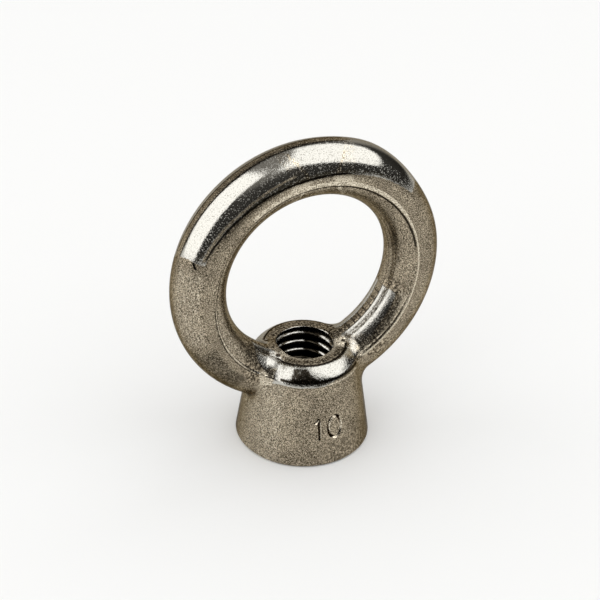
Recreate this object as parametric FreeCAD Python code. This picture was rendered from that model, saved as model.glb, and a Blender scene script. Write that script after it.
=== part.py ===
import FreeCAD, Part
import math
import os

# Lifting eye nut for an M10 stud, forged in one piece, in millimetres
# Origin at the centre of the base face, +Z up through the bore, eye opening along Y

# Ring
eye_diameter = 25.0
ring_thickness = 7.75
crease_angle = 104.0
land_angle = 147.0
crease_radius = 0.4

# Boss
base_diameter = 20.1
top_diameter = 15.3
boss_height = 15.25
shoulder_radius = 2.1
base_edge = 0.3

# Where the ring meets the boss
ring_sink = 0.65
joint_radius = 1.5

# Threaded bore, at the crests of the M10 x 1.5 thread
bore_diameter = 8.376
bore_edge = 0.2
countersink_diameter = 10.6

# Ring size and place, worked out from the sizes above
section_radius = ring_thickness / 2
ring_radius = eye_diameter / 2 + section_radius
ring_height = boss_height - ring_sink + eye_diameter / 2

ORIGIN = FreeCAD.Vector(0, 0, 0)
UP = FreeCAD.Vector(0, 0, 1)
THROUGH_EYE = FreeCAD.Vector(0, 1, 0)
TOUCH = 1e-4


def section_point(angle):
    """Point on the bar's round section at the top of the ring; 0 is outward, 180 faces the eye."""
    turn = math.radians(angle)
    out = ring_radius + section_radius * math.cos(turn)
    return FreeCAD.Vector(0, -section_radius * math.sin(turn), ring_height + out)


def section_arc(start, middle, end):
    return Part.Arc(section_point(start), section_point(middle), section_point(end)).toShape()


def circles(solid, smallest_radius):
    """The solid's circular edges above a given radius."""
    found = []
    for edge in solid.Edges:
        if isinstance(edge.Curve, Part.Circle) and edge.Curve.Radius > smallest_radius:
            found.append(edge)
    return found


def make_ring():
    """Round bar bent to a ring, with two narrow dressed bands either side of the eye's land."""
    outside = section_arc(-crease_angle, 0, crease_angle)
    front_band = Part.makeLine(section_point(crease_angle), section_point(land_angle))
    land = section_arc(land_angle, 180, -land_angle)
    back_band = Part.makeLine(section_point(-land_angle), section_point(-crease_angle))
    section = Part.Face(Part.Wire([outside, front_band, land, back_band]))
    centre = FreeCAD.Vector(0, 0, ring_height)
    ring = section.revolve(centre, THROUGH_EYE, 360)
    creases = circles(ring, eye_diameter / 2)
    return ring.makeFillet(crease_radius, creases)


def make_boss():
    """Tapered boss, widest at the base, with a full shoulder and a small chamfer at the base."""
    base_radius = base_diameter / 2
    top_radius = top_diameter / 2
    corners = [
        ORIGIN,
        FreeCAD.Vector(0, base_radius, 0),
        FreeCAD.Vector(0, top_radius, boss_height),
        FreeCAD.Vector(0, 0, boss_height),
        ORIGIN,
    ]
    boss = Part.Face(Part.makePolygon(corners)).revolve(ORIGIN, UP, 360)
    rim = [edge for edge in circles(boss, 0) if edge.Curve.Center.z > boss_height / 2]
    boss = boss.makeFillet(shoulder_radius, rim)
    foot = [edge for edge in circles(boss, 0) if edge.Curve.Center.z < TOUCH]
    return boss.makeChamfer(base_edge, foot)


def blend(ring, boss):
    """Ring and boss as one forging, with a fillet wherever their surfaces cross."""
    crossing = ring.section(boss)
    forging = ring.fuse(boss)
    joint = []
    for edge in forging.Edges:
        middle = edge.valueAt((edge.FirstParameter + edge.LastParameter) / 2)
        if Part.Vertex(middle).distToShape(crossing)[0] < TOUCH:
            joint.append(edge)
    return forging.makeFillet(joint_radius, joint)


def make_bore():
    """What the drill takes out: the bore, its countersink at the base and its broken top edge."""
    bore_radius = bore_diameter / 2
    sink_radius = countersink_diameter / 2
    top_radius = bore_radius + bore_edge
    above = boss_height + section_radius
    corners = [
        ORIGIN,
        FreeCAD.Vector(0, sink_radius, 0),
        FreeCAD.Vector(0, bore_radius, sink_radius - bore_radius),
        FreeCAD.Vector(0, bore_radius, boss_height - bore_edge),
        FreeCAD.Vector(0, top_radius, boss_height),
        FreeCAD.Vector(0, top_radius, above),
        FreeCAD.Vector(0, 0, above),
        ORIGIN,
    ]
    return Part.Face(Part.makePolygon(corners)).revolve(ORIGIN, UP, 360)


forging = blend(make_ring(), make_boss())
eye_nut = forging.cut(make_bore())

os.makedirs("parts", exist_ok=True)
eye_nut.exportStep("parts/eye_nut.step")
print("eye nut: valid", eye_nut.isValid(), "solids", len(eye_nut.Solids), "faces", len(eye_nut.Faces))
box = eye_nut.optimalBoundingBox(False, False)
print("volume", round(eye_nut.Volume, 1))
print("size", round(box.XLength, 2), round(box.YLength, 2), round(box.ZLength, 2))
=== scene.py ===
import math
from types import SimpleNamespace

import bmesh
import bpy
import numpy as np
from mathutils import Matrix, Vector


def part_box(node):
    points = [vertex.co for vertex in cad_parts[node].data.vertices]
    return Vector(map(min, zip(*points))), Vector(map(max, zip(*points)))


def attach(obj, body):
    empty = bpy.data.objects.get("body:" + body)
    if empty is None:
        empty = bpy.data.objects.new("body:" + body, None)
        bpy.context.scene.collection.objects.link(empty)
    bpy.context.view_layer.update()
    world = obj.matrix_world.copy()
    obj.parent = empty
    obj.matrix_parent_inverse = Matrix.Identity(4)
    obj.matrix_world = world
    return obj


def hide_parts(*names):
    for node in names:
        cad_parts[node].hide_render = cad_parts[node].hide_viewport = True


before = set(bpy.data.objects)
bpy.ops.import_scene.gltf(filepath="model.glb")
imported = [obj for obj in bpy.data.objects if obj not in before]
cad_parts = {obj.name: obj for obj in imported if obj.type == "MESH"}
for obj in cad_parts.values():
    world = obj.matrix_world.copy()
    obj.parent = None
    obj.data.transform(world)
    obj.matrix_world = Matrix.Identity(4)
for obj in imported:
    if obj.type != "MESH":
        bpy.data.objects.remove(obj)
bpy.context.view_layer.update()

# Lengths are in millimetres, in the frame's axes, and become metres where a mesh is made
MM = 0.001
low, high = (np.array(corner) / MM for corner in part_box("eye_nut"))

# Angles are in degrees. Round the bar's section 0 is outward and 180 faces the eye.
# Round the ring 0 is on the right and 90 at the top. Round the boss 0 is in front and 90 on the right.
# A band is given as (middle, width), and a span as (from, to, soft edge outside it).

# Sizes that the frame gives
RING_REACH = (high[0] - low[0]) / 2
RING_HEIGHT = high[2] - RING_REACH
FOOT_RADIUS = (high[1] - low[1]) / 2

# Ring: a round bar, a little flatter between its creases and the eye's land
BAR_RADIUS = 3.875
RING_RADIUS = RING_REACH - BAR_RADIUS
CREASE_ANGLE = 104.0
LAND_ANGLE = 147.0
BAND_FLATNESS = 0.12

# Trimmed flash line beside the eye: its place round the section, by place round the ring
TRIM_TURNS = (-180, -150, -126, -60, -45, -25, -5, 15, 50, 90, 128, 180)
TRIM_ANGLES = (109, 103, 102, 102.5, 102, 101, 101.5, 102.5, 107, 109, 109, 109)
TRIM_RISE = 0.07
TRIM_RUN_UP = 4
TRIM_EXTRA_RUN_UP = 5
TRIM_EXTRA_BAND = (75, 55)
TRIM_FALL = 5
TRIM_GROOVE = 0.05
TRIM_GROOVE_BAND = (5.0, 1.8)

# Grooves beside the eye's land as (depth, band round the section)
LAND_GROOVES = ((0.02, (155, 3.5)), (0.05, (169.5, 1.4)))

# Uneven outside of the ring as (rise, band round the ring), fading between two angles of the section
SWELLS = ((0.22, (64, 12)), (-0.26, (34, 16)))
SWELL_FADE = (100, 30)

# Boss
TOP_RADIUS = 7.65
BOSS_HEIGHT = 15.25
BASE_EDGE = 0.3
SLOPE = (FOOT_RADIUS - TOP_RADIUS) / (BOSS_HEIGHT - BASE_EDGE)
BASE_RADIUS = TOP_RADIUS + SLOPE * BOSS_HEIGHT
SHOULDER_RADIUS = 6.5
SHOULDER_RIM = 5.95
SHOULDER_FOOT = 13.3
SHOULDER_EDGE = 0.3
JOINT_RADIUS = 1.3

# Shallow hollow in the boss's side, just under its shoulder, as bands of height and of place round the boss
HOLLOW_DEPTH = 0.05
HOLLOW_HEIGHTS = (SHOULDER_FOOT - 0.55, 0.3)
HOLLOW_TURNS = (27, 26)

# Thread, M10 x 1.5: its flats are shares of the pitch, and it runs out between two depths below the top face.
# Its mesh has some turns to spare below the base and above the top.
PITCH = 1.5
CREST_RADIUS = 4.188
ROOT_RADIUS = 5.01
CREST_FLAT = 0.2
ROOT_FLAT = 0.1
THREAD_START = 0.12
RUN_OUT_START = 0.55
RUN_OUT_END = 0.05
TURNS_BELOW = 2
TURNS_ABOVE = 3
SINK_RADIUS = 5.3
TOP_BREAK = 0.1

# Stamped number 10, its strokes as points of (right, up) from its centre
NUMBER_HEIGHT = 6.0
STROKE_RADIUS = 0.25
ONE = ((-2.15, 0.95), (-1.8, 1.2), (-1.45, 1.65), (-1.4, 1.2), (-1.4, 0.5), (-1.4, -0.5), (-1.4, -1.7))
NOUGHT_CENTRE = 1.0
NOUGHT_WIDTH = 1.05
NOUGHT_HEIGHT = 1.7
NOUGHT_STEP = 12

# Short knock across the ring's front, as points of (round the ring, round the section)
NICK = ((159.3, 43), (159.6, 45.5), (160.2, 48), (161.0, 51), (161.6, 54))
NICK_RADIUS = 0.16

# Camera, as fitted to the photograph's outline. Its lengths are shares of the ring's radius and its scale is
# pixels to that radius. The image is in pixels, the sensor in millimetres and the clips in metres.
VIEW_AZIMUTH = -25.082
VIEW_ELEVATION = 32.067
VIEW_ROLL = 1.868
VIEW_DISTANCE = 11.165
VIEW_RIGHT = -0.0604
VIEW_UP = -0.1939
VIEW_HEIGHT = 1.6
VIEW_SCALE = 116.061
IMAGE_WIDTH = 600
SENSOR_WIDTH = 36.0
CLIP_START = 0.005
CLIP_END = 20

# How fine the meshes are. Rows round the ring's section are (from, to, step), closer at creases and edges.
# The rows near the trim line follow it, by a share that rises and falls between the angles given.
RING_STEPS = 400
SECTION_ROWS = ((0, 181, 4.0), (94, 113, 1.0), (148, 172, 1.0), (58, 92, 2.0), (4, 14, 2.0))
FOLLOW_RISE = (50, 92)
FOLLOW_FALL = (114, 140)
BOSS_STEPS = 320
BASE_INNER_ROW = 2.5
BASE_ROWS = 4
SIDE_ROWS = 30
SIDE_ROWS_END = 1.2
HOLLOW_ROWS = 10
HOLLOW_ROWS_START = 1.05
SHOULDER_ROWS = 22
TOP_ROWS = (0.1, 0.2, 0.35, 0.6, 1.0, 1.5, 2.2, 3.0)
BORE_STEPS = 96
THREAD_ROWS = 16
TUBE_SIDES = 4
SETTLE_ROUNDS = 4
GRADIENT_STEP = 0.004
SMALLEST_SLOPE = 1e-9

# How far cutters reach past what they cut, how near points are merged, and how near counts as on the skin
OVERCUT = 1.0
MERGE_GAP = 0.002
SKIN_TOLERANCE = 0.03

# Edges past this angle stay sharp, and a corner's normal is read this share of the way into its face
SHARP_ANGLE = 28
CORNER_INSET = 0.12


def smooth_step(low_edge, high_edge, x):
    """0 before the first edge and 1 after the second, with a soft rise between them."""
    t = np.clip((x - low_edge) / (high_edge - low_edge), 0, 1)
    return t * t * (3 - 2 * t)


def bell(x, middle, width):
    """A bump of height 1 at middle, that falls off within a few widths."""
    return np.exp(-(((x - middle) / width) ** 2))


def within(low_edge, high_edge, soft, x):
    """1 between two values, falling to 0 over a soft edge outside them."""
    return smooth_step(low_edge - soft, low_edge, x) * (1 - smooth_step(high_edge, high_edge + soft, x))


def trim_angle(turn):
    """Where the trim line lies round the section, by place round the ring."""
    return np.interp(turn, TRIM_TURNS, TRIM_ANGLES)


def section_size(angle, turn):
    """Distance from the bar's centreline to its skin, by place round the section and round the ring."""
    a = np.abs(angle)
    middle = (CREASE_ANGLE + LAND_ANGLE) / 2
    half = (LAND_ANGLE - CREASE_ANGLE) / 2
    off_middle = np.radians(np.clip(a - middle, -half, half))
    chord = math.cos(math.radians(half)) / np.cos(off_middle)
    size = BAR_RADIUS * (1 + BAND_FLATNESS * (chord - 1))
    past = a - trim_angle(turn)
    run_up = TRIM_RUN_UP + TRIM_EXTRA_RUN_UP * bell(turn, *TRIM_EXTRA_BAND)
    size += TRIM_RISE * smooth_step(-run_up, 0, past) * (1 - smooth_step(0, TRIM_FALL, past))
    size -= TRIM_GROOVE * bell(past, *TRIM_GROOVE_BAND)
    for depth, band in LAND_GROOVES:
        size -= depth * bell(a, *band)
    for rise, band in SWELLS:
        size += rise * bell(turn, *band) * smooth_step(*SWELL_FADE, a)
    return size


def ring_field(p):
    """How far points lie outside the ring, negative inside it."""
    x, y, z = p.T
    out = np.hypot(x, z - RING_HEIGHT) - RING_RADIUS
    angle = np.degrees(np.arctan2(-y, out))
    turn = np.degrees(np.arctan2(z - RING_HEIGHT, x))
    return np.hypot(out, y) - section_size(angle, turn)


def round_join(a, b, radius):
    """Union of two fields with a hollow fillet where they meet."""
    u = np.maximum(radius - a, 0)
    v = np.maximum(radius - b, 0)
    return np.maximum(radius, np.minimum(a, b)) - np.hypot(u, v)


def round_meet(a, b, radius):
    """Intersection of two fields with a rounded edge where they meet."""
    u = np.maximum(radius + a, 0)
    v = np.maximum(radius + b, 0)
    return np.minimum(-radius, np.maximum(a, b)) + np.hypot(u, v)


def shoulder_centre():
    """Centre of the shoulder's flat arc, which runs from the rim of the top face to the side."""
    rim = np.array([SHOULDER_RIM, BOSS_HEIGHT])
    foot = np.array([BASE_RADIUS - SLOPE * SHOULDER_FOOT, SHOULDER_FOOT])
    chord = foot - rim
    inward = np.array([chord[1], -chord[0]]) / np.linalg.norm(chord)
    rise = math.sqrt(SHOULDER_RADIUS**2 - chord @ chord / 4)
    return (rim + foot) / 2 + inward * rise


ARC_RADIUS, ARC_HEIGHT = shoulder_centre()
RIM_TILT = math.atan2(BOSS_HEIGHT - ARC_HEIGHT, SHOULDER_RIM - ARC_RADIUS)
FOOT_TILT = math.atan2(SHOULDER_FOOT - ARC_HEIGHT, BASE_RADIUS - SLOPE * SHOULDER_FOOT - ARC_RADIUS)


def boss_field(p):
    """How far points lie outside the tapered boss, negative inside it."""
    x, y, z = p.T
    out = np.hypot(x, y)
    azimuth = np.degrees(np.arctan2(x, -y))
    side = (out - BASE_RADIUS + SLOPE * z) / math.hypot(1, SLOPE)
    side += HOLLOW_DEPTH * bell(z, *HOLLOW_HEIGHTS) * bell(azimuth, *HOLLOW_TURNS)
    across, up = out - ARC_RADIUS, z - ARC_HEIGHT
    tilt = np.clip(np.arctan2(up, across), FOOT_TILT, RIM_TILT)
    arc = across * np.cos(tilt) + up * np.sin(tilt) - SHOULDER_RADIUS
    body = round_meet(round_meet(side, arc, SHOULDER_EDGE), z - BOSS_HEIGHT, SHOULDER_EDGE)
    edge = (out - (BASE_RADIUS - BASE_EDGE) - z) / math.sqrt(2)
    return np.maximum(np.maximum(body, edge), -z)


def body_field(p):
    """How far points lie outside ring and boss together, with the fillet between them."""
    return round_join(ring_field(p), boss_field(p), JOINT_RADIUS)


def gradient(field, p):
    """Unit direction in which a field grows fastest."""
    slope = np.empty_like(p)
    for axis in range(3):
        shift = np.zeros(3)
        shift[axis] = GRADIENT_STEP
        slope[:, axis] = field(p + shift) - field(p - shift)
    return slope / np.maximum(np.linalg.norm(slope, axis=1, keepdims=True), SMALLEST_SLOPE)


def settle(field, p):
    """Points moved onto the surface where a field is zero."""
    for _ in range(SETTLE_ROUNDS):
        p = p - field(p)[:, None] * gradient(field, p)
    return p


def read(items, name, width=1, kind=np.float32):
    """One property of all of a mesh's points, corners or faces, as an array."""
    values = np.empty(len(items) * width, kind)
    items.foreach_get(name, values)
    return values if width == 1 else values.reshape(-1, width).astype(float)


def points_of(mesh):
    """A mesh's points in millimetres."""
    return read(mesh.vertices, "co", 3) / MM


def make_mesh(name, points, faces):
    """Object of a closed mesh from points in millimetres, with its faces turned outward."""
    mesh = bpy.data.meshes.new(name)
    mesh.from_pydata((points * MM).tolist(), [], faces)
    skin = bmesh.new()
    skin.from_mesh(mesh)
    bmesh.ops.recalc_face_normals(skin, faces=skin.faces)
    skin.to_mesh(mesh)
    skin.free()
    thing = bpy.data.objects.new(name, mesh)
    bpy.context.scene.collection.objects.link(thing)
    return thing


def ring_mesh():
    """Closed ring, with rows of vertices gathered where its section has creases."""
    half = np.unique(np.concatenate([np.arange(*rows) for rows in SECTION_ROWS]))
    angles = np.concatenate([half, -half[-2:0:-1]])
    turns = np.arange(RING_STEPS) * 360 / RING_STEPS
    turn, angle = np.meshgrid((turns + 180) % 360 - 180, angles, indexing="ij")
    follow = smooth_step(*FOLLOW_RISE, np.abs(angle)) * (1 - smooth_step(*FOLLOW_FALL, np.abs(angle)))
    angle = angle + np.sign(angle) * follow * (trim_angle(turn) - CREASE_ANGLE)
    size = section_size(angle, turn)
    out = RING_RADIUS + size * np.cos(np.radians(angle))
    x = out * np.cos(np.radians(turn))
    y = -size * np.sin(np.radians(angle))
    z = RING_HEIGHT + out * np.sin(np.radians(turn))
    points = np.stack([x, y, z], axis=-1)
    rows, columns = turn.shape
    faces = []
    for i in range(rows):
        here, ahead = i * columns, (i + 1) % rows * columns
        for j in range(columns):
            side = (j + 1) % columns
            faces.append((here + j, ahead + j, ahead + side, here + side))
    return make_mesh("ring", points.reshape(-1, 3), faces)


def lathe(name, profile, steps):
    """Solid of revolution about Z from a profile of (radius, height) that starts and ends on the axis."""
    turns = np.arange(steps) * 2 * math.pi / steps
    inner = profile[1:-1]
    points = [(0, 0, profile[0][1])]
    for radius, height in inner:
        points += [(radius * math.cos(t), radius * math.sin(t), height) for t in turns]
    points.append((0, 0, profile[-1][1]))
    last = len(points) - 1
    faces = []
    for k in range(steps):
        side = (k + 1) % steps
        faces.append((0, 1 + side, 1 + k))
        for row in range(len(inner) - 1):
            start = 1 + row * steps
            faces.append((start + k, start + side, start + steps + side, start + steps + k))
        top = 1 + (len(inner) - 1) * steps
        faces.append((top + k, top + side, last))
    return make_mesh(name, np.array(points, float), faces)


def boss_mesh():
    """Tapered boss, closed, with even rows up its side, closer ones at its hollow and over its shoulder."""
    base_radii = np.linspace(BASE_INNER_ROW, BASE_RADIUS - BASE_EDGE, BASE_ROWS)
    side_heights = np.linspace(BASE_EDGE, SHOULDER_FOOT - SIDE_ROWS_END, SIDE_ROWS)
    hollow_heights = np.linspace(SHOULDER_FOOT - HOLLOW_ROWS_START, SHOULDER_FOOT, HOLLOW_ROWS)
    profile = [(0, 0)]
    profile += [(radius, 0) for radius in base_radii]
    profile += [(BASE_RADIUS - SLOPE * h, h) for h in np.concatenate([side_heights, hollow_heights])]
    for tilt in np.linspace(FOOT_TILT, RIM_TILT, SHOULDER_ROWS)[1:]:
        across, up = SHOULDER_RADIUS * math.cos(tilt), SHOULDER_RADIUS * math.sin(tilt)
        profile.append((ARC_RADIUS + across, ARC_HEIGHT + up))
    profile += [(SHOULDER_RIM - inset, BOSS_HEIGHT) for inset in TOP_ROWS]
    profile.append((0, BOSS_HEIGHT))
    return lathe("boss", profile, BOSS_STEPS)


def thread_mesh():
    """What the tap and drill take out: a core with a helical ridge, its rows following the helix."""
    share = np.arange(THREAD_ROWS) / THREAD_ROWS
    off_root = np.abs(2 * share - 1)
    lift = np.clip((1 - CREST_FLAT - off_root) / (1 - CREST_FLAT - ROOT_FLAT), 0, 1)
    turns = np.arange(-TURNS_BELOW, int(BOSS_HEIGHT / PITCH) + TURNS_ABOVE)
    heights = ((turns[:, None] + share) * PITCH).ravel() + THREAD_START
    lifts = np.tile(lift, len(turns))
    climb = np.arange(BORE_STEPS) / BORE_STEPS
    spin = climb * 2 * math.pi
    z = heights[None, :] + (climb * PITCH)[:, None]
    depth = smooth_step(BOSS_HEIGHT - RUN_OUT_END, BOSS_HEIGHT - RUN_OUT_START, z)
    radii = CREST_RADIUS + lifts[None, :] * depth * (ROOT_RADIUS - CREST_RADIUS)
    x, y = np.cos(spin)[:, None] * radii, np.sin(spin)[:, None] * radii
    points = np.stack([x, y, z], axis=-1).reshape(-1, 3)
    rows = len(heights)
    used = rows - THREAD_ROWS

    def vertex(k, row):
        """The last step round meets the first one a pitch further up."""
        return k * rows + row if k < BORE_STEPS else row + THREAD_ROWS

    faces = []
    bottom, top = len(points), len(points) + 1
    points = np.vstack([points, (0, 0, heights[0]), (0, 0, heights[-1] + PITCH)])
    for k in range(BORE_STEPS):
        for row in range(used - 1):
            faces.append((vertex(k, row), vertex(k + 1, row), vertex(k + 1, row + 1), vertex(k, row + 1)))
    for k in range(BORE_STEPS):
        faces.append((vertex(k + 1, 0), vertex(k, 0), bottom))
        faces.append((vertex(k, used - 1), vertex(k + 1, used - 1), top))
    for row in range(THREAD_ROWS):
        faces.append((row, row + 1, bottom))
        faces.append((row + used, row + used - 1, top))
    return make_mesh("thread", points, faces)


def combine(target, tool, operation):
    """Joins a closed mesh to another, or cuts it away, and leaves one plain mesh."""
    step = target.modifiers.new(operation, "BOOLEAN")
    step.operation = operation
    step.solver = "MANIFOLD"
    step.object = tool
    seen = target.evaluated_get(bpy.context.evaluated_depsgraph_get())
    result = bpy.data.meshes.new_from_object(seen)
    target.modifiers.clear()
    target.data = result
    bpy.data.objects.remove(tool)


def settle_body(thing):
    """Moves the joined skin onto the filleted body, and leaves the base flat."""
    mesh = thing.data
    points = settle(body_field, points_of(mesh))
    mesh.vertices.foreach_set("co", (points * MM).astype(np.float32).ravel())
    mesh.update()


def cut_bore(thing):
    """Threaded bore, with a countersink at the base and a broken edge at the top."""
    depth = SINK_RADIUS - CREST_RADIUS
    sink = [(0, -OVERCUT), (SINK_RADIUS + OVERCUT, -OVERCUT), (CREST_RADIUS, depth), (0, depth)]
    combine(thing, lathe("sink", sink, BORE_STEPS), "DIFFERENCE")
    edge, above = BOSS_HEIGHT - TOP_BREAK, BOSS_HEIGHT + OVERCUT
    rim = CREST_RADIUS + TOP_BREAK
    mouth = [(0, edge), (CREST_RADIUS, edge), (rim, BOSS_HEIGHT), (rim, above), (0, above)]
    combine(thing, lathe("mouth", mouth, BORE_STEPS), "DIFFERENCE")
    combine(thing, thread_mesh(), "DIFFERENCE")


def tube(name, path, outward, radius, closed):
    """Thin square cutter along a path on the skin, which leaves a V; outward is the skin's direction."""
    path = np.array(path, float)
    outward = np.array(outward, float)
    if closed:
        along = np.roll(path, -1, axis=0) - np.roll(path, 1, axis=0)
    else:
        along = np.gradient(path, axis=0)
    across = np.cross(along, outward)
    across /= np.linalg.norm(across, axis=1, keepdims=True)
    turns = np.arange(TUBE_SIDES) * 2 * math.pi / TUBE_SIDES
    rings = [path + radius * (math.cos(t) * across + math.sin(t) * outward) for t in turns]
    points = np.stack(rings, axis=1).reshape(-1, 3)
    count = len(path)
    faces = []
    for k in range(count if closed else count - 1):
        here, ahead = k * TUBE_SIDES, (k + 1) % count * TUBE_SIDES
        for j in range(TUBE_SIDES):
            side = (j + 1) % TUBE_SIDES
            faces.append((here + j, ahead + j, ahead + side, here + side))
    if not closed:
        faces.append(tuple(range(TUBE_SIDES - 1, -1, -1)))
        faces.append(tuple((count - 1) * TUBE_SIDES + j for j in range(TUBE_SIDES)))
    return make_mesh(name, points, faces)


def boss_path(stroke):
    """Points and outward directions on the boss's side for a stroke of (right, up) points."""
    path, outward = [], []
    for right, up in stroke:
        height = NUMBER_HEIGHT + up
        radius = BASE_RADIUS - SLOPE * height
        turn = right / radius
        path.append((radius * math.sin(turn), -radius * math.cos(turn), height))
        outward.append((math.sin(turn), -math.cos(turn), SLOPE))
    return path, np.array(outward) / math.hypot(1, SLOPE)


def stamp_number(thing):
    """Size number of the thread, stamped low on the front of the boss."""
    turns = np.radians(np.arange(0, 360, NOUGHT_STEP))
    nought = [(NOUGHT_CENTRE + NOUGHT_WIDTH * math.cos(t), NOUGHT_HEIGHT * math.sin(t)) for t in turns]
    combine(thing, tube("one", *boss_path(ONE), STROKE_RADIUS, False), "DIFFERENCE")
    combine(thing, tube("nought", *boss_path(nought), STROKE_RADIUS, True), "DIFFERENCE")


def nick_ring(thing):
    """Short knock across the ring's front, high on its left."""
    path, outward = [], []
    for turn, angle in NICK:
        t, a = math.radians(turn), math.radians(angle)
        out = RING_RADIUS + BAR_RADIUS * math.cos(a)
        path.append((out * math.cos(t), -BAR_RADIUS * math.sin(a), RING_HEIGHT + out * math.sin(t)))
        outward.append((math.cos(a) * math.cos(t), -math.sin(a), math.cos(a) * math.sin(t)))
    combine(thing, tube("nick", path, outward, NICK_RADIUS, False), "DIFFERENCE")


def clean(thing):
    """Merges points that the cuts left almost on top of each other."""
    gap = MERGE_GAP * MM
    skin = bmesh.new()
    skin.from_mesh(thing.data)
    bmesh.ops.remove_doubles(skin, verts=skin.verts, dist=gap)
    bmesh.ops.dissolve_degenerate(skin, edges=skin.edges, dist=gap)
    skin.to_mesh(thing.data)
    skin.free()


def shade_by_form(thing):
    """Smooth shading with the true surface's normals, and sharp edges kept on the bore and the base."""
    mesh = thing.data
    mesh.shade_smooth()
    mesh.set_sharp_from_angle(angle=math.radians(SHARP_ANGLE))
    normals = read(mesh.corner_normals, "vector", 3)
    corners = points_of(mesh)[read(mesh.loops, "vertex_index", kind=np.int32)]
    sizes = read(mesh.polygons, "loop_total", kind=np.int32)
    face_of = np.repeat(np.arange(len(sizes)), sizes)
    centres = np.zeros((len(sizes), 3))
    np.add.at(centres, face_of, corners)
    centres /= sizes[:, None]
    on_body = np.abs(body_field(centres)) < SKIN_TOLERANCE
    chosen = on_body[face_of]
    inset = CORNER_INSET * centres[face_of][chosen] + (1 - CORNER_INSET) * corners[chosen]
    normals[chosen] = gradient(body_field, inset)
    mesh.normals_split_custom_set(normals.tolist())


def eye_nut_mesh():
    """The whole nut: ring and boss joined and blended, then bored, threaded, stamped and knocked."""
    thing = ring_mesh()
    combine(thing, boss_mesh(), "UNION")
    settle_body(thing)
    cut_bore(thing)
    stamp_number(thing)
    nick_ring(thing)
    clean(thing)
    shade_by_form(thing)
    thing.name = "forged_eye_nut"
    thing.data.name = thing.name
    return thing


# Direction of the painted light: sides that face it get a painted sheen, and flanks of the strokes and nick
# that face it get a painted highlight
PAINTED_LIGHT_DIRECTION = np.array([-0.6, 0, 0.8])

# Strokes and nick: how far they lie from the bore and the base, and how far a flank leans towards the painted
# light to take a painted highlight; the other flanks take painted shade
CUT_FROM_BORE = 0.1
CUT_FROM_BASE = 1
CUT_LEAN = 0.05

# Polish and painted sheen by how far the skin looks towards the painted light and up, as (matte, polished);
# the flat top stays matte
SHEEN_LEAN = (0.13, 0.21)
SHEEN_UP = (0.17, 0.27)
FLAT_UP = (0.95, 0.98)
FLAT_DEPTHS = (0.2, 0.1)

# Polished crown of the ring: its lower edge round the section by place round the ring, its ends, its upper
# edge, which falls away on the right, and how soft its edges are, on the back too
CROWN_TURNS = (40, 50, 60, 70, 80, 90, 100, 110, 120, 130, 140, 150, 157)
CROWN_EDGES = (64, 71, 76, 81, 84, 87, 87, 85, 82, 80, 76, 71, 68)
CROWN_ENDS = (41, 158.5)
CROWN_TOP = (5, 11)
CROWN_TOP_DROP = 30
CROWN_TOP_DROP_TURNS = (80, 60)
CROWN_SOFT = 1.2
CROWN_SOFT_START = 3
CROWN_SOFT_BACK = 6
CROWN_BACK_DEPTHS = (-2, 1)
CROWN_FADE = (94, 90)

# Dull streak along the crown: its place round the section by place round the ring, its width and its reach
STREAK_TURNS = (100, 120, 130, 140, 158)
STREAK_ANGLES = (69, 72, 72, 67, 62)
STREAK_WIDTH = 3
STREAK_WIDENING = 1.2
STREAK_WIDENING_TURNS = (130, 145)
STREAK_SPAN = (104, 156, 4)
STREAK_DULLS = 0.95
# The streak's lighter colour is painted light
STREAK_PAINTED_LIGHT = 0.4

# Matte patch low on the ring's right: its edge round the section by place round the ring, and its reach;
# and the matte side facing the eye above it
PATCH_TURNS = (-60, -50, -43, -20)
PATCH_EDGES = (119, 121, 127, 128)
PATCH_SOFT = 2
PATCH_SPAN = (-64, 5, 3)
PATCH_DULL = 0.4
PATCH_DULL_SPAN = (116, 134, 3)
MATTE_SIDE_SPAN = (-18.5, 5, 3)
MATTE_SIDE_ANGLE = 100

# Less polish on the eye's land, and none in its innermost groove
LAND_DULL = 0.45
LAND_DULL_SPAN = (152, 158, 2)
LAND_MATTE = (168, 170)

# Bare metal along the trim line, wider towards the top, lightened further as a painted highlight
TRIM_BARE_AND_HIGHLIGHT = 0.9
TRIM_BARE_WIDTH = 3.5
TRIM_BARE_END = -1
TRIM_BARE_WIDENING = 5
TRIM_BARE_WIDENING_TURNS = (10, 60)
TRIM_BARE_SOFT = 1.2
TRIM_BARE_SPAN = (-60, 128, 2)

# Painted light on the ring as (strength, span round the section, span round the ring), then those measured
# from the trim line, and one on the left, measured round the ring from 0 to 360
PAINTED_LIGHT_PATCHES = ((0.42, (99, 124, 3), (-58, -20, 8)), (0.38, (87, 100, 2), (70, 124, 8)))
PAINTED_LIGHT_BY_TRIM = ((0.35, (3, 24, 4), (-178, -138, 5)), (0.5, (-0.5, 2.5, 1), (-178, -128, 4)))
PAINTED_LIGHT_LEFT = ((0.38, (20, 70, 15), (165, 198, 8)),)

# Painted highlights on the boss as (strength, span of height, span round the boss, outermost radius)
PAINTED_HIGHLIGHTS_ON_BOSS = (
    (0.8, (12.6, 14.4, 0.4), (-80, -60, 6), 9.5),
    (0.45, (13.6, 16.2, 0.4), (58, 72, 6), 9.5),
)
# Painted light on the lower left of the boss's side
SIDE_PAINTED_LIGHT = 0.4
SIDE_PAINTED_LIGHT_TURNS = (-100, -50, 20)
SIDE_PAINTED_LIGHT_TOP = 12.5
SIDE_PAINTED_LIGHT_RADIUS = 10.2
# Painted highlight along the hollow under the shoulder
HOLLOW_HIGHLIGHT = 0.7
HOLLOW_HIGHLIGHT_HEIGHTS = (12.85, 0.18)
HOLLOW_HIGHLIGHT_TURNS = (2, 46, 6)
HOLLOW_HIGHLIGHT_RADIUS = 9

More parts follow.
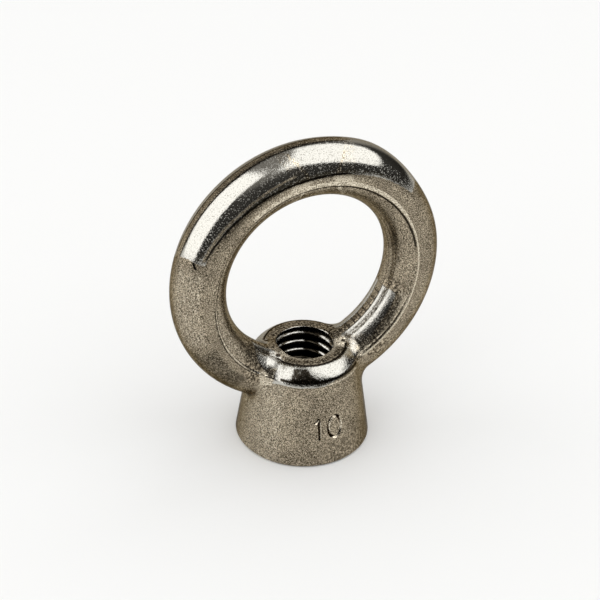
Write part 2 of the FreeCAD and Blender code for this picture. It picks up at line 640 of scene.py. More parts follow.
# Painted highlight on the rim of the bore's mouth, and the top face round it lightened, partly as faced metal
# and partly as painted light
RIM_HIGHLIGHT = 0.7
RIM_RADII = (4.25, 4.5)
RIM_TURNS = (-70, 60, 10)
TOP_BARE_AND_LIGHT = 0.36
TOP_INNER_RADIUS = 4.3

# Painted shade on the ring in dark lines as (strength, band round the section, span round the ring), one a
# painted dark reflection above the crown; then those measured from the trim line, one across the bar with
# band and span the other way round, and a patch on the left
PAINTED_SHADE_LINES = (
    (0.7, (105.5, 1.3), (-57, -43, 3)),
    (0.7, (117, 1.5), (-37, -23, 4)),
    (0.8, (9, 2.5), (78, 158, 5)),
    (0.5, (144, 6), (0, 25, 6)),
    (0.7, (169.5, 1.2), (-60, -20, 3)),
)
SHADE_BY_TRIM = ((1.2, (2.8, 2.4), (15, 131, 8)), (0.9, (-2.3, 1.1), (-178, -126, 4)))
SHADE_ACROSS = ((0.5, (-58.5, 1.2), (110, 141, 4)),)
SHADE_LEFT = ((0.52, (30, 80, 15), (207, 228, 8)),)

# Slanting lines of painted shade as (strength, section angle, its place round the ring, slope, width, span)
SHADE_SLANTS = ((0.6, 106, -42, 1.9, 1.5, (-41, -36, 1)), (0.6, 139, -150, 0.18, 1.6, (-176, -140, 4)))

# Painted dark reflection under the crown's edge, and ticks of grime on the land
CROWN_DARK_REFLECTION = 1.4
CROWN_DARK_REFLECTION_RISE = 2.0
CROWN_DARK_REFLECTION_WIDTH = 2.0
CROWN_DARK_REFLECTION_SPAN = (80, 153, 8)
TICK_SOIL = 0.8
TICK_GAP = 5.2
TICK_WIDTH = 0.7
TICK_ANGLES = (171, 182, 2)
TICK_SPAN = (-60, -24, 2)

# The bore reaches this far past the thread's roots, and starts this far below the top face
BORE_MARGIN = 0.05
BORE_TOP = 0.02

# Painted shade in the bore: on the thread's flanks, below its first turns and all over, and a painted dark
# reflection on one side
FLANK_RADII = (4.34, 4.55)
DARK_HEIGHTS = (10.9, 10.3)
BORE_SHADE = 0.3
BORE_GAP_DARK_REFLECTION = 1.5
BORE_GAP_TURNS = (130, 151, 4)

# Painted shade on the boss: a dark ring round the top face, a painted dark reflection in a notch left of it,
# and painted shade at the foot of the shoulder
TOP_RIM_SHADE_RADII = (SHOULDER_RIM + 0.02, 0.2)
TOP_RIM_SHADE_HEIGHTS = (BOSS_HEIGHT - 0.15, BOSS_HEIGHT + 0.1, 0.1)
NOTCH_DARK_REFLECTION = 0.75
NOTCH_TURNS = (-36, -12)
NOTCH_SLANT = 9
NOTCH_SOFT = 5
NOTCH_HEIGHTS = (13.7, 14.8, 0.3)
NOTCH_RADII = (6.2, 8.5)
FOOT_SHADE_HEIGHTS = (SHOULDER_FOOT + 0.12, 0.22)
FOOT_SHADE_TURNS = (-48, 48, 5)
FOOT_SHADE_RADIUS = 8.8

# Rough skin: by the ring's root, on a spot of the crown, on the lower right of the ring and low on the boss
ROOT_REACH = (13.5, 11)
ROOT_HEIGHTS = (13.4, 19, 0.8)
SPOT_ROUGH = 0.5
SPOT_BAND = (108, 7)
SPOT_FADE = (60, 40)
ROUGH_ANGLES = (118, 168, 2)
ROUGH_SPAN = (-64, -15, 6)
LOW_ROUGH = 0.7
LOW_TURNS = (0, 40, 12)
LOW_HEIGHTS = (0.4, 3.5, 1.2)
LOW_RADIUS = 6

# Specks in the polish: by the ring's root, along the crown, on its spot and on the top face
SPECK_ANGLES = (47, 85, 4)
SPECK_SPAN = (40, 165, 5)
SPECK_BAND = (109, 5)

# How near the ring's own form points count as on it, and how near the top face
RING_NEARNESS = (0.05, 0.6)
FACE_DEPTH = 0.05


def places(p):
    """Where points lie on the ring, round its section, on the boss and in the bore."""
    x, y, z = p.T
    out = np.hypot(x, z - RING_HEIGHT) - RING_RADIUS
    section = np.abs(np.degrees(np.arctan2(-y, out)))
    turn = np.degrees(np.arctan2(z - RING_HEIGHT, x))
    radius = np.hypot(x, y)
    return SimpleNamespace(
        y=y,
        z=z,
        radius=radius,
        azimuth=np.degrees(np.arctan2(x, -y)),
        section=section,
        turn=turn,
        full_turn=turn % 360,
        past_trim=section - trim_angle(turn),
        crown_edge=np.interp(turn, CROWN_TURNS, CROWN_EDGES),
        on_ring=1 - smooth_step(*RING_NEARNESS, ring_field(p)),
        on_top=z > BOSS_HEIGHT - FACE_DEPTH,
        in_bore=(radius < ROOT_RADIUS + BORE_MARGIN) * (z < BOSS_HEIGHT - BORE_TOP),
        normal=gradient(body_field, p),
    )


def patches(rows, across, along):
    """Sum of even marks of (strength, span across, span along)."""
    return sum(strength * within(*a, across) * within(*b, along) for strength, a, b in rows)


def lines(rows, across, along):
    """Sum of fine marks of (strength, band across, span along)."""
    return sum(strength * bell(across, *band) * within(*span, along) for strength, band, span in rows)


def streak_marks(at):
    """1 on the dull streak that runs along the crown."""
    middle = np.interp(at.turn, STREAK_TURNS, STREAK_ANGLES)
    width = STREAK_WIDTH + STREAK_WIDENING * smooth_step(*STREAK_WIDENING_TURNS, at.turn)
    return bell(at.section, middle, width) * within(*STREAK_SPAN, at.turn)


def crown_marks(at):
    """1 on the polished crown, which has crisp ends on the front and soft ones on the back."""
    first, last = CROWN_ENDS
    drop = CROWN_TOP_DROP * smooth_step(*CROWN_TOP_DROP_TURNS, at.turn)
    crown = smooth_step(*CROWN_TOP, at.section + drop)
    crown *= smooth_step(at.crown_edge + CROWN_SOFT, at.crown_edge - CROWN_SOFT, at.section)
    soft = 1 + CROWN_SOFT_BACK * smooth_step(*CROWN_BACK_DEPTHS, at.y)
    crown *= smooth_step(first - CROWN_SOFT_START * soft, first, at.turn)
    crown *= smooth_step(last + soft, last, at.turn)
    return crown * (1 - STREAK_DULLS * streak_marks(at))


def polish_and_sheen_marks(at):
    """1 where the skin is polished: on the crown, in the bore and on sides that look up and left, where its
    brighter colour is a painted sheen.
    """
    up = at.normal[:, 2]
    # Sides facing the painted light are polished, and their brighter colour there is a painted sheen
    polish_and_sheen = smooth_step(*SHEEN_LEAN, at.normal @ PAINTED_LIGHT_DIRECTION) * smooth_step(*SHEEN_UP, up)
    deep, shallow = FLAT_DEPTHS
    polish_and_sheen *= 1 - smooth_step(*FLAT_UP, up) * smooth_step(BOSS_HEIGHT - deep, BOSS_HEIGHT - shallow, at.z)
    above = at.on_ring * smooth_step(*CROWN_FADE, at.section) * (at.turn > 0)
    polish_and_sheen = polish_and_sheen * (1 - above) + crown_marks(at) * above
    below = at.on_ring * within(*PATCH_SPAN, at.turn)
    edge = np.interp(at.turn, PATCH_TURNS, PATCH_EDGES)
    polish_and_sheen *= 1 - below * smooth_step(edge + PATCH_SOFT, edge - PATCH_SOFT, at.section)
    polish_and_sheen *= 1 - PATCH_DULL * below * within(*PATCH_DULL_SPAN, at.section)
    polish_and_sheen *= 1 - at.on_ring * within(*MATTE_SIDE_SPAN, at.turn) * (at.section > MATTE_SIDE_ANGLE)
    polish_and_sheen = np.maximum(polish_and_sheen, at.in_bore)
    polish_and_sheen *= 1 - LAND_DULL * at.on_ring * within(*LAND_DULL_SPAN, at.section)
    return polish_and_sheen * (1 - at.on_ring * smooth_step(*LAND_MATTE, at.section))


def bare_and_highlight_marks(at):
    """1 where the colour is lightened: scraped metal on the trim line and the top face, which also carry
    painted light, and painted highlights and painted light elsewhere.
    """
    # Scraped metal on the trim line, lightened further as a painted highlight
    width = TRIM_BARE_WIDTH + TRIM_BARE_WIDENING * smooth_step(*TRIM_BARE_WIDENING_TURNS, at.turn)
    beside_trim = within(-width, TRIM_BARE_END, TRIM_BARE_SOFT, at.past_trim)
    bare_and_highlight = TRIM_BARE_AND_HIGHLIGHT * beside_trim * within(*TRIM_BARE_SPAN, at.turn)
    # Painted light on the ring, and along the streak
    bare_and_highlight += patches(PAINTED_LIGHT_BY_TRIM, at.past_trim, at.turn)
    bare_and_highlight += patches(PAINTED_LIGHT_PATCHES, at.section, at.turn)
    bare_and_highlight += patches(PAINTED_LIGHT_LEFT, at.section, at.full_turn)
    bare_and_highlight += STREAK_PAINTED_LIGHT * streak_marks(at)
    bare_and_highlight *= at.on_ring
    # Painted light on the boss's left side, in its hollow and on its shoulder
    side = within(*SIDE_PAINTED_LIGHT_TURNS, at.azimuth) * (at.z < SIDE_PAINTED_LIGHT_TOP) * (at.radius < SIDE_PAINTED_LIGHT_RADIUS)
    bare_and_highlight += SIDE_PAINTED_LIGHT * side
    hollow = bell(at.z, *HOLLOW_HIGHLIGHT_HEIGHTS) * within(*HOLLOW_HIGHLIGHT_TURNS, at.azimuth)
    bare_and_highlight += HOLLOW_HIGHLIGHT * hollow * (at.radius < HOLLOW_HIGHLIGHT_RADIUS)
    for strength, heights, turns, radius in PAINTED_HIGHLIGHTS_ON_BOSS:
        bare_and_highlight += strength * within(*turns, at.azimuth) * within(*heights, at.z) * (at.radius < radius)
    # Painted highlight on the mouth's rim, and the top face lightened, partly as painted light
    inner, outer = RIM_RADII
    rim = (at.radius > inner) * (at.radius < outer) * (at.z > BOSS_HEIGHT - BORE_TOP)
    bare_and_highlight += RIM_HIGHLIGHT * rim * within(*RIM_TURNS, at.azimuth)
    bare_and_highlight += TOP_BARE_AND_LIGHT * (at.radius > TOP_INNER_RADIUS) * (at.radius < SHOULDER_RIM) * at.on_top
    return np.clip(bare_and_highlight, 0, 1)


def dirt_and_shade_marks(at):
    """1 where the skin is darkened: grime in the ticks on the land, and elsewhere painted shade and painted
    dark reflections.
    """
    # Painted shade along the trim ridge and in dark lines round the ring
    dirt_and_shade = lines(SHADE_BY_TRIM, at.past_trim, at.turn)
    dirt_and_shade += lines(PAINTED_SHADE_LINES, at.section, at.turn)
    dirt_and_shade += lines(SHADE_ACROSS, at.turn, at.section)
    for strength, angle, turn, slope, width, span in SHADE_SLANTS:
        middle = angle + slope * (at.turn - turn)
        dirt_and_shade += strength * bell(at.section, middle, width) * within(*span, at.turn)
    # Painted dark reflection under the crown's edge
    under = bell(at.section, at.crown_edge - CROWN_DARK_REFLECTION_RISE, CROWN_DARK_REFLECTION_WIDTH)
    dirt_and_shade += CROWN_DARK_REFLECTION * under * within(*CROWN_DARK_REFLECTION_SPAN, at.turn)
    dirt_and_shade += patches(SHADE_LEFT, at.section, at.full_turn)
    off_tick = np.abs((at.turn + TICK_GAP / 2) % TICK_GAP - TICK_GAP / 2)
    tick = bell(off_tick, 0, TICK_WIDTH) * within(*TICK_ANGLES, at.section)
    dirt_and_shade += TICK_SOIL * tick * within(*TICK_SPAN, at.turn)
    dirt_and_shade = dirt_and_shade * at.on_ring
    # Painted shade in the thread's roots, deep down and all over the bore, and a painted dark reflection on
    # one side
    in_thread = smooth_step(*FLANK_RADII, at.radius) + smooth_step(*DARK_HEIGHTS, at.z)
    in_thread += BORE_SHADE + BORE_GAP_DARK_REFLECTION * within(*BORE_GAP_TURNS, at.azimuth)
    dirt_and_shade += in_thread * at.in_bore
    # Painted shade round the top face's rim, a painted dark reflection in the notch, and painted shade under
    # the shoulder
    dirt_and_shade += bell(at.radius, *TOP_RIM_SHADE_RADII) * within(*TOP_RIM_SHADE_HEIGHTS, at.z)
    left, right = NOTCH_TURNS
    lowest = NOTCH_HEIGHTS[0]
    notch = within(left, right - NOTCH_SLANT * (at.z - lowest), NOTCH_SOFT, at.azimuth)
    inner, outer = NOTCH_RADII
    dirt_and_shade += NOTCH_DARK_REFLECTION * notch * within(*NOTCH_HEIGHTS, at.z) * (at.radius > inner) * (at.radius < outer)
    foot = bell(at.z, *FOOT_SHADE_HEIGHTS) * within(*FOOT_SHADE_TURNS, at.azimuth)
    dirt_and_shade += foot * (at.radius < FOOT_SHADE_RADIUS)
    return np.clip(dirt_and_shade, 0, 1)


def root_marks(at):
    """1 on the skin round the ring's root."""
    return smooth_step(*ROOT_REACH, at.radius) * within(*ROOT_HEIGHTS, at.z)


def rough_marks(at):
    """1 where the skin is coarse and blotched."""
    spot = SPOT_ROUGH * bell(at.turn, *SPOT_BAND) * at.on_ring * smooth_step(*SPOT_FADE, at.section)
    rough = np.maximum(root_marks(at), spot)
    rough = np.maximum(rough, at.on_ring * within(*ROUGH_ANGLES, at.section) * within(*ROUGH_SPAN, at.turn))
    low_patch = within(*LOW_TURNS, at.azimuth) * within(*LOW_HEIGHTS, at.z) * (at.radius > LOW_RADIUS)
    return np.maximum(rough, LOW_ROUGH * low_patch)


def speck_marks(at):
    """1 where the polish has dull specks in it."""
    along_crown = at.on_ring * within(*SPECK_ANGLES, at.section) * within(*SPECK_SPAN, at.turn)
    speck = np.maximum(root_marks(at), along_crown)
    speck = np.maximum(speck, bell(at.turn, *SPECK_BAND) * at.on_ring)
    return np.maximum(speck, (at.radius < SHOULDER_RIM) * at.on_top)


def cut_sides(mesh):
    """For each face corner, whether it lies in a stroke or the nick, and whether on a flank that faces the
    painted light and takes a painted highlight.
    """
    p = read(mesh.polygons, "center", 3) / MM
    out = read(mesh.polygons, "normal", 3)
    sizes = read(mesh.polygons, "loop_total", kind=np.int32)
    outside_bore = np.hypot(p[:, 0], p[:, 1]) > SINK_RADIUS + CUT_FROM_BORE
    in_cut = (body_field(p) < -SKIN_TOLERANCE) & outside_bore & (p[:, 2] > CUT_FROM_BASE)
    # How far each face leans towards the painted light
    lean = (out - gradient(body_field, p)) @ PAINTED_LIGHT_DIRECTION
    bright = (lean > CUT_LEAN) & (boss_field(p) < 0)
    return np.repeat(in_cut, sizes), np.repeat(bright, sizes)


def add_wear_and_painted_light(thing):
    """Stores each face corner's wear, painted light and painted shade on the mesh, where the material reads
    it.
    """
    mesh = thing.data
    at = places(points_of(mesh))
    marks = {
        "polish_and_sheen": polish_and_sheen_marks(at),
        "dirt_and_shade": dirt_and_shade_marks(at),
        "rough": rough_marks(at),
        "speck": speck_marks(at),
        "bare_and_highlight": bare_and_highlight_marks(at),
        "dull": at.on_ring * streak_marks(at),
    }
    owner = read(mesh.loops, "vertex_index", kind=np.int32)
    by_corner = {name: value[owner] for name, value in marks.items()}
    in_cut, bright = cut_sides(mesh)
    # Strokes and nick: painted shade on flanks turned from the light, painted highlight on those turned to it
    by_corner["dirt_and_shade"][in_cut] = 1 - bright[in_cut]
    by_corner["bare_and_highlight"][in_cut] = bright[in_cut]
    for name, value in by_corner.items():
        layer = mesh.attributes.new(name, "FLOAT", "CORNER")
        layer.data.foreach_set("value", value.astype(np.float32))


# Steel's colours, each from the pits of its skin to its peaks, as (place on the noise, colour)
MATTE = ((0.34, (0.04, 0.033, 0.023)), (0.5, (0.272, 0.229, 0.162)), (0.66, (0.68, 0.585, 0.44)))
WORN = ((0.34, (0.03, 0.025, 0.017)), (0.5, (0.198, 0.165, 0.116)), (0.66, (0.52, 0.44, 0.33)))
BLOTCHED = ((0.38, (0.035, 0.028, 0.02)), (0.5, (0.22, 0.182, 0.127)), (0.62, (0.62, 0.525, 0.39)))
# Polished colour, also laid as a painted sheen on sides that face the painted light
POLISHED_AND_SHEEN = ((0.3, (0.3, 0.285, 0.25)), (0.4, (0.5, 0.485, 0.44)), (0.55, (0.55, 0.535, 0.49)))
# Colour of scraped metal, also used for painted highlights
SCRAPED_AND_HIGHLIGHT = ((0.34, (0.2, 0.172, 0.13)), (0.5, (0.6, 0.525, 0.4)), (0.66, (0.95, 0.87, 0.71)))
# Near-black colour of grime and of painted shade
DIRT_AND_SHADE_TONES = ((0.3, (0.012, 0.01, 0.007)), (0.7, (0.06, 0.05, 0.036)))
EDGE_TINT = (0.4, 0.36, 0.3, 1)

# Noises as (scale, detail, roughness)
GRAIN = (7000, 1, 0.5)
MOTTLE = (3200, 3, 0.65)
CLOUD = (260, 2, 0.5)
SPECKS = (5200, 1, 0.5)

# Where on a noise clouds, specks and frayed edges begin, and where they are full
CLOUD_RANGE = (0.38, 0.62)
SPECK_RANGE = (0.57, 0.68)
FRAY_RANGE = (0.3, 0.7)

# How frayed the edges of the marks are
POLISH_AND_SHEEN_FRAY = 1.4
BARE_AND_HIGHLIGHT_FRAY = 1.0
DIRT_AND_SHADE_FRAY = 1.2

# Painted shade on sides seen almost edge-on: where on the way there it begins and is full, and how much of it
GLANCE_RANGE = (0.8, 0.97)
GLANCE_SHADE = 0.9

# Roughness of matte and of polished skin, reached at a share of the polish; what specks and the streak add
SKIN_ROUGHNESS = (0.24, 0.06)
FULL_POLISH = 0.6
SPECK_ROUGHNESS = (0.06, 0.5)
STREAK_ROUGHNESS = 0.4

# Bumps of the grain, and of the mottle on smooth and on rough skin
GRAIN_STRENGTH = 0.25
GRAIN_DEPTH = 0.03
MOTTLE_STRENGTHS = (0.1, 0.38)
MOTTLE_DEPTH = 0.09


def make_ramp(nodes, stops):
    """Colour ramp with stops of (place, colour)."""
    node = nodes.new("ShaderNodeValToRGB")
    elements = node.color_ramp.elements
    while len(elements) < len(stops):
        elements.new(0.5)
    for element, (place, colour) in zip(elements, stops):
        element.position = place
        element.color = (*colour, 1)
    return node


def forged_steel():
    """Bead-blasted stainless steel with a fine grain, polished where it looks up, with a painted sheen on
    sides that face the painted light, and painted highlights and painted shade from its marks.
    """
    material = bpy.data.materials.new("satin_steel")
    material.use_nodes = True
    nodes, links = material.node_tree.nodes, material.node_tree.links
    shader = nodes["Principled BSDF"]
    shader.inputs["Metallic"].default_value = 1.0
    shader.inputs["Specular Tint"].default_value = EDGE_TINT
    place = nodes.new("ShaderNodeTexCoord")

    def attribute(name):
        node = nodes.new("ShaderNodeAttribute")
        node.attribute_name = name
        return node.outputs["Fac"]

    def noise(scale, detail, roughness):
        node = nodes.new("ShaderNodeTexNoise")
        node.inputs["Scale"].default_value = scale
        node.inputs["Detail"].default_value = detail
        node.inputs["Roughness"].default_value = roughness
        links.new(place.outputs["Object"], node.inputs["Vector"])
        return node.outputs["Fac"]

    def ramp(source, stops):
        node = make_ramp(nodes, stops)
        links.new(source, node.inputs["Fac"])
        return node.outputs["Color"]

    def mix(share, first, second):
        node = nodes.new("ShaderNodeMix")
        node.data_type = "RGBA"
        links.new(share, node.inputs["Factor"])
        links.new(first, node.inputs["A"])
        links.new(second, node.inputs["B"])
        return node.outputs["Result"]

    def spread(source, low_in, high_in, low_out, high_out):
        node = nodes.new("ShaderNodeMapRange")
        node.inputs["From Min"].default_value = low_in
        node.inputs["From Max"].default_value = high_in
        node.inputs["To Min"].default_value = low_out
        node.inputs["To Max"].default_value = high_out
        links.new(source, node.inputs["Value"])
        return node.outputs["Result"]

    def multiply_add(source, factor, term):
        """source * factor + term, where the factor is a number or another node's output."""
        node = nodes.new("ShaderNodeMath")
        node.operation = "MULTIPLY_ADD"
        links.new(source, node.inputs[0])
        if isinstance(factor, float):
            node.inputs[1].default_value = factor
        else:
            links.new(factor, node.inputs[1])
        links.new(term, node.inputs[2])
        return node.outputs["Value"]

    def bump(height, distance):
        node = nodes.new("ShaderNodeBump")
        node.inputs["Distance"].default_value = distance
        links.new(height, node.inputs["Height"])
        return node

    grain = noise(*GRAIN)
    mottle = noise(*MOTTLE)

    def ragged(name, fray):
        """An attribute with a frayed edge where it passes a half."""
        frayed = multiply_add(mottle, fray, attribute(name))
        return spread(frayed, *(share + fray / 2 for share in FRAY_RANGE), 0, 1)

    polish_and_sheen = ragged("polish_and_sheen", POLISH_AND_SHEEN_FRAY)
    matte = mix(spread(noise(*CLOUD), *CLOUD_RANGE, 0, 1), ramp(grain, WORN), ramp(grain, MATTE))
    matte = mix(attribute("rough"), matte, ramp(mottle, BLOTCHED))
    # Polished colour, which on sides facing the painted light is a painted sheen
    base = mix(polish_and_sheen, matte, ramp(grain, POLISHED_AND_SHEEN))
    # Scraped metal, and painted highlights and painted light
    base = mix(ragged("bare_and_highlight", BARE_AND_HIGHLIGHT_FRAY), base, ramp(grain, SCRAPED_AND_HIGHLIGHT))
    dark_tone = ramp(grain, DIRT_AND_SHADE_TONES)
    # Grime in the ticks, and painted shade and painted dark reflections elsewhere
    base = mix(ragged("dirt_and_shade", DIRT_AND_SHADE_FRAY), base, dark_tone)
    edge = nodes.new("ShaderNodeLayerWeight")
    edge.inputs["Blend"].default_value = 0.5
    # Painted shade on sides seen edge-on
    base = mix(spread(edge.outputs["Facing"], *GLANCE_RANGE, 0, GLANCE_SHADE), base, dark_tone)
    links.new(base, shader.inputs["Base Color"])

    specks = spread(noise(*SPECKS), *SPECK_RANGE, 0, 1)
    speck_depth = spread(attribute("speck"), 0, 1, *SPECK_ROUGHNESS)
    skin_roughness = spread(polish_and_sheen, 0, FULL_POLISH, *SKIN_ROUGHNESS)
    roughness = multiply_add(specks, speck_depth, skin_roughness)
    roughness = multiply_add(attribute("dull"), STREAK_ROUGHNESS, roughness)
    links.new(roughness, shader.inputs["Roughness"])

    fine = bump(grain, GRAIN_DEPTH * MM)
    fine.inputs["Strength"].default_value = GRAIN_STRENGTH
    coarse = bump(mottle, MOTTLE_DEPTH * MM)
    links.new(spread(attribute("rough"), 0, 1, *MOTTLE_STRENGTHS), coarse.inputs["Strength"])
    links.new(fine.outputs["Normal"], coarse.inputs["Normal"])
    links.new(coarse.outputs["Normal"], shader.inputs["Normal"])
    return material


nut = eye_nut_mesh()
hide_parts("eye_nut")
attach(nut, "root")
add_wear_and_painted_light(nut)
nut.data.materials.clear()
nut.data.materials.append(forged_steel())

# Studio, in metres. Lamps and their fronts lie as (azimuth, elevation) from the middle of the ring, and the
# outline of a front is in its own plane.
CENTRE = Vector((0, 0, RING_HEIGHT * MM))
LAMP_DISTANCE = 0.9
LAMP_RADIANCE = 0.52
FRONT_RADIANCE = 1.85
SOFTBOX_PLACE = (-90.5, 33)
SOFTBOX_SIZE = (1.46, 1.3)
SOFTBOX_OUTLINE = ((-0.58, -0.6), (0.55, -0.6), (0.54, 0.85), (-0.6, 0.58))
UMBRELLA_PLACE = (70, 58)
UMBRELLA_SIZE = (1.3, 1.3)
UMBRELLA_FRONT_PLACE = (67, 54)
UMBRELLA_OUTLINE = (
    (-0.63, 0.41), (-0.59, -0.07), (-0.49, -0.44), (-0.34, -0.72), (-0.06, -0.66),
    (0.29, -0.47), (0.52, -0.32), (0.66, -0.12), (0.72, 0.16), (0.71, 0.68),
)

# Paper floor, and the dark table past its front edge, a hair above it
FLOOR_RADIUS = 1.6
FLOOR_SIDES = 96
PAPER_COLOUR = (0.88, 0.88, 0.87)
TABLE_EDGE = ((-1.5, -0.25), (-0.08, -0.165), (-0.013, -0.14), (0, -0.09), (0.035, -0.08), (0.153, -0.21))
TABLE_CORNERS = ((1.5, -0.25), (1.5, -1.5), (-1.5, -1.5))
TABLE_RISE = 0.0002
WOOD_COLOUR = (0.05, 0.045, 0.035)
MATTE_FINISH = 0.9

# Room: its glow as (elevation, level) in front and behind, a warm tint, and where behind begins
ROOM_RADIUS = 1.7
ROOM_SEGMENTS = 64
ROOM_RINGS = 32
ROOM_FRONT = ((0, 0.03), (38, 0.07), (50, 0.25), (90, 0.3))
ROOM_BEHIND = ((0, 0.8), (14, 0.55), (33, 0.5), (41, 0.04), (62, 0.05), (75, 0.3))
ROOM_TINT = (1, 0.96, 0.9)
BEHIND_FROM = 0.45
BEHIND_TO = 0.68
SKY_STRENGTH = 0.85


def direction(azimuth, elevation):
    """Unit vector towards a place on the sky; azimuth 0 is in front (-Y) and 90 on the right (+X)."""
    a, e = math.radians(azimuth), math.radians(elevation)
    return Vector((math.sin(a) * math.cos(e), -math.cos(a) * math.cos(e), math.sin(e)))


def plain_material(name, colour):
    """Matte material of one colour."""
    material = bpy.data.materials.new(name)
    material.use_nodes = True
    shader = material.node_tree.nodes["Principled BSDF"]
    shader.inputs["Base Color"].default_value = (*colour, 1)
    shader.inputs["Roughness"].default_value = MATTE_FINISH
    shader.inputs["Specular IOR Level"].default_value = 0.0
    return material


def glowing_material(name):
    """Material with a glow in place of its surface, and the node of that glow."""
    material = bpy.data.materials.new(name)
    material.use_nodes = True
    nodes = material.node_tree.nodes
    nodes.remove(nodes["Principled BSDF"])
    glow = nodes.new("ShaderNodeEmission")
    material.node_tree.links.new(glow.outputs["Emission"], nodes["Material Output"].inputs["Surface"])
    return material, glow


def flat_sheet(name, corners, material):
    """One flat face that lights and shades nothing, and shows in reflections alone."""
    mesh = bpy.data.meshes.new(name)
    mesh.from_pydata(corners, [], [tuple(range(len(corners)))])
    mesh.materials.append(material)
    sheet = bpy.data.objects.new(name, mesh)
    bpy.context.scene.collection.objects.link(sheet)
    sheet.visible_camera = False
    sheet.visible_diffuse = False
    sheet.visible_shadow = False


def lamp(name, place, size, shape="RECTANGLE"):
    """Area lamp that faces the object; its power gives the lamps' radiance."""
    width, height = size
    light = bpy.data.lights.new(name, "AREA")
    light.shape = shape
    light.size = width
    light.size_y = height
    area = width * height * (math.pi / 4 if shape == "ELLIPSE" else 1.0)
    light.energy = LAMP_RADIANCE * math.pi * area
    thing = bpy.data.objects.new(name, light)
    back = direction(*place)
    thing.location = CENTRE + back * LAMP_DISTANCE
    thing.rotation_euler = back.to_track_quat("Z", "Y").to_euler()
    thing.visible_camera = False
    thing.visible_glossy = False
    bpy.context.scene.collection.objects.link(thing)


def lamp_front(name, place, outline):
    """Front of a lamp as the steel mirrors it."""
    back = direction(*place)
    across = Vector((0, 0, 1)).cross(back).normalized()
    upward = back.cross(across)
    corners = [CENTRE + back * LAMP_DISTANCE + across * x + upward * y for x, y in outline]
    material, glow = glowing_material(name)
    glow.inputs["Strength"].default_value = FRONT_RADIANCE
    flat_sheet(name, corners, material)


def make_floor():
    add_circle = bpy.ops.mesh.primitive_circle_add
    add_circle(vertices=FLOOR_SIDES, radius=FLOOR_RADIUS, fill_type="NGON", location=(0, 0, 0))
    floor = bpy.context.object
    floor.name = "floor"
    floor.data.materials.append(plain_material("white_paper", PAPER_COLOUR))


def make_dark_table():
    """Dark table beyond the front of the paper, which only the steel's reflections see."""
    corners = [(x, y, TABLE_RISE) for x, y in TABLE_EDGE + TABLE_CORNERS]
    flat_sheet("dark_table", corners, plain_material("dark_wood", WOOD_COLOUR))


def studio_walls():
    """Glow of the room by height and side: dark in front and at the sides, a grey sweep low behind."""
    material, glow = glowing_material("studio_walls")
    nodes, links = material.node_tree.nodes, material.node_tree.links
    place = nodes.new("ShaderNodeNewGeometry")
    unit = nodes.new("ShaderNodeVectorMath")
    unit.operation = "NORMALIZE"
    links.new(place.outputs["Position"], unit.inputs[0])
    split = nodes.new("ShaderNodeSeparateXYZ")
    links.new(unit.outputs["Vector"], split.inputs["Vector"])

    def by_height(stops):
        tones = []
        for elevation, level in stops:
            height = max(0.0, math.sin(math.radians(elevation)))
            tones.append((height, [level * tint for tint in ROOM_TINT]))
        tone = make_ramp(nodes, tones)
        links.new(split.outputs["Z"], tone.inputs["Fac"])
        return tone.outputs["Color"]

    facing = nodes.new("ShaderNodeVectorMath")
    facing.operation = "DOT_PRODUCT"
    facing.inputs[1].default_value = direction(180, 0)
    links.new(unit.outputs["Vector"], facing.inputs[0])
    behind = nodes.new("ShaderNodeMapRange")
    behind.inputs["From Min"].default_value = BEHIND_FROM
    behind.inputs["From Max"].default_value = BEHIND_TO
    links.new(facing.outputs["Value"], behind.inputs["Value"])
    blend = nodes.new("ShaderNodeMix")
    blend.data_type = "RGBA"
    links.new(behind.outputs["Result"], blend.inputs["Factor"])
    links.new(by_height(ROOM_FRONT), blend.inputs["A"])
    links.new(by_height(ROOM_BEHIND), blend.inputs["B"])
    links.new(blend.outputs["Result"], glow.inputs["Color"])
    return material


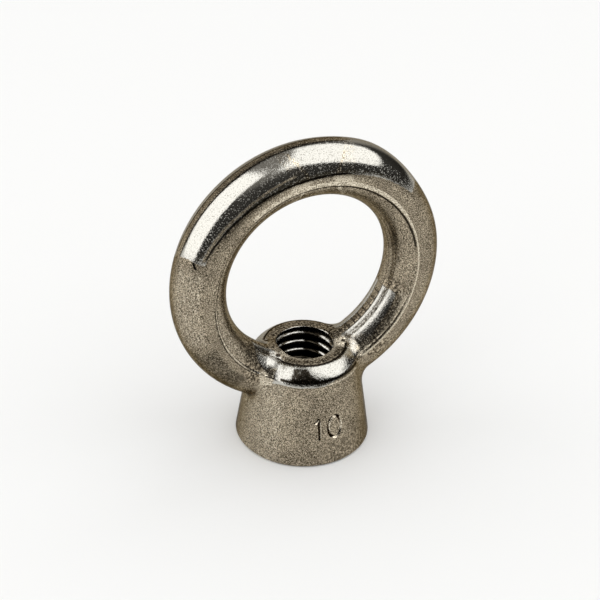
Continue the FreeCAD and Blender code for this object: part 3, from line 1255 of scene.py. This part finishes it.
def make_room():
    """Room round the table, which the camera doesn't see and the steel reflects."""
    add_sphere = bpy.ops.mesh.primitive_uv_sphere_add
    add_sphere(segments=ROOM_SEGMENTS, ring_count=ROOM_RINGS, radius=ROOM_RADIUS, location=(0, 0, 0))
    room = bpy.context.object
    room.name = "studio_room"
    room.data.materials.append(studio_walls())
    room.visible_camera = False
    room.visible_diffuse = False


def make_world():
    world = bpy.data.worlds.new("pale_world")
    world.use_nodes = True
    sky = world.node_tree.nodes["Background"]
    sky.inputs["Color"].default_value = (1, 1, 1, 1)
    sky.inputs["Strength"].default_value = SKY_STRENGTH
    bpy.context.scene.world = world


def make_camera():
    """Camera that sees the nut as the photograph does."""
    unit = RING_RADIUS * MM
    back = direction(VIEW_AZIMUTH, VIEW_ELEVATION)
    level = (-back).cross(Vector((0, 0, 1))).normalized()
    roll = math.radians(VIEW_ROLL)
    upright = level.cross(-back)
    right = math.cos(roll) * level + math.sin(roll) * upright
    up = -math.sin(roll) * level + math.cos(roll) * upright
    target = Vector((0, 0, VIEW_HEIGHT)) + VIEW_RIGHT * right + VIEW_UP * up
    place = (target + VIEW_DISTANCE * back) * unit
    turn = Matrix((right, up, back)).transposed().to_4x4()
    camera = bpy.data.objects.new("camera", bpy.data.cameras.new("camera"))
    camera.matrix_world = Matrix.Translation(place) @ turn
    camera.data.sensor_width = SENSOR_WIDTH
    camera.data.lens = VIEW_SCALE * VIEW_DISTANCE / IMAGE_WIDTH * SENSOR_WIDTH
    camera.data.clip_start = CLIP_START
    camera.data.clip_end = CLIP_END
    bpy.context.scene.collection.objects.link(camera)
    bpy.context.scene.camera = camera


lamp("softbox_left", SOFTBOX_PLACE, SOFTBOX_SIZE)
lamp("umbrella_right", UMBRELLA_PLACE, UMBRELLA_SIZE, "ELLIPSE")
lamp_front("softbox_front", SOFTBOX_PLACE, SOFTBOX_OUTLINE)
lamp_front("umbrella_front", UMBRELLA_FRONT_PLACE, UMBRELLA_OUTLINE)
make_floor()
make_dark_table()
make_room()
make_world()
make_camera()
bpy.context.scene.view_settings.view_transform = "Standard"
